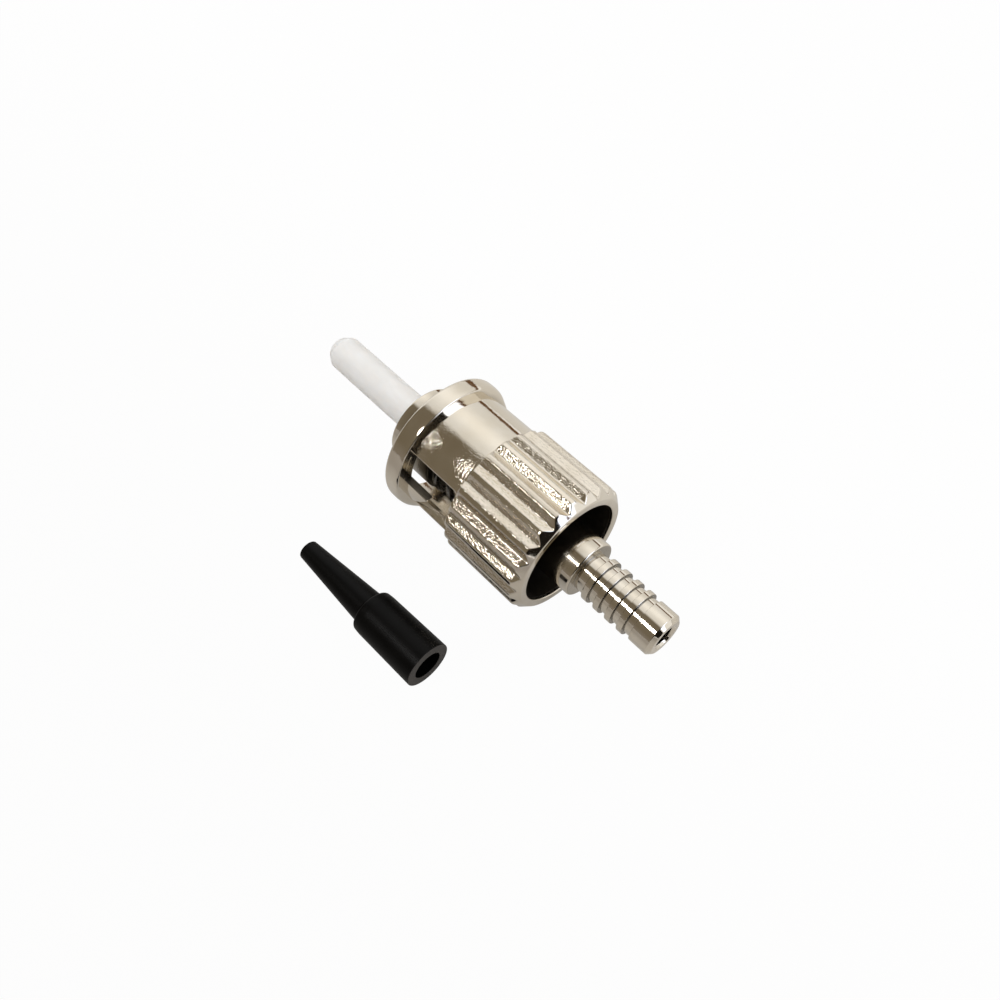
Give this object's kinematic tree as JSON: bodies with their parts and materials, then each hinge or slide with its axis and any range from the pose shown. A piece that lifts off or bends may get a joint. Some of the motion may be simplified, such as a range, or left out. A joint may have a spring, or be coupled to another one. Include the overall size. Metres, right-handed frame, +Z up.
{
  "type": "bayonet fibre connector",
  "caption": "Single-fibre optical plug with a long ceramic ferrule, a sprung bayonet coupling nut with a fluted grip, a barbed stem and a loose rubber boot.",
  "frame": {"origin": "centre of the barrel's front face, where the ferrule comes out", "axes": "+X along the connector's axis to the cable end, +Z up, the ferrule points to -X; the connector lies on its side on the nut's flange"},
  "size_m": [0.0305, 0.0168, 0.0096],
  "materials": {
    "ceramic": "ground white ceramic",
    "plated_barrel": "nickel plate on turned brass",
    "plated_nut": "nickel plate on a die casting",
    "spring_wire": "drawn steel",
    "boot_rubber": "matte black moulded rubber"
  },
  "bodies": {
    "plug": {"ferrule": "ceramic", "barrel": "plated_barrel", "alignment_key": "plated_barrel", "spring": "spring_wire", "retaining_clip": "spring_wire", "boot": "boot_rubber"},
    "slider": {"thrust_washer": "spring_wire"},
    "nut": {"bayonet_nut": "plated_nut"}
  },
  "joints": [
    {"name": "nut_slide", "type": "slide", "parent": "plug", "child": "slider", "axis": [1, 0, 0], "range_m": [-0.0022, 0], "stiffness_N_per_m": 500, "springref_m": 0.0002, "deforming": ["spring"]},
    {"name": "nut_turn", "type": "hinge", "parent": "slider", "child": "nut", "pos_m": [0.0088, 0, 0], "axis": [1, 0, 0], "continuous": true}
  ]
}
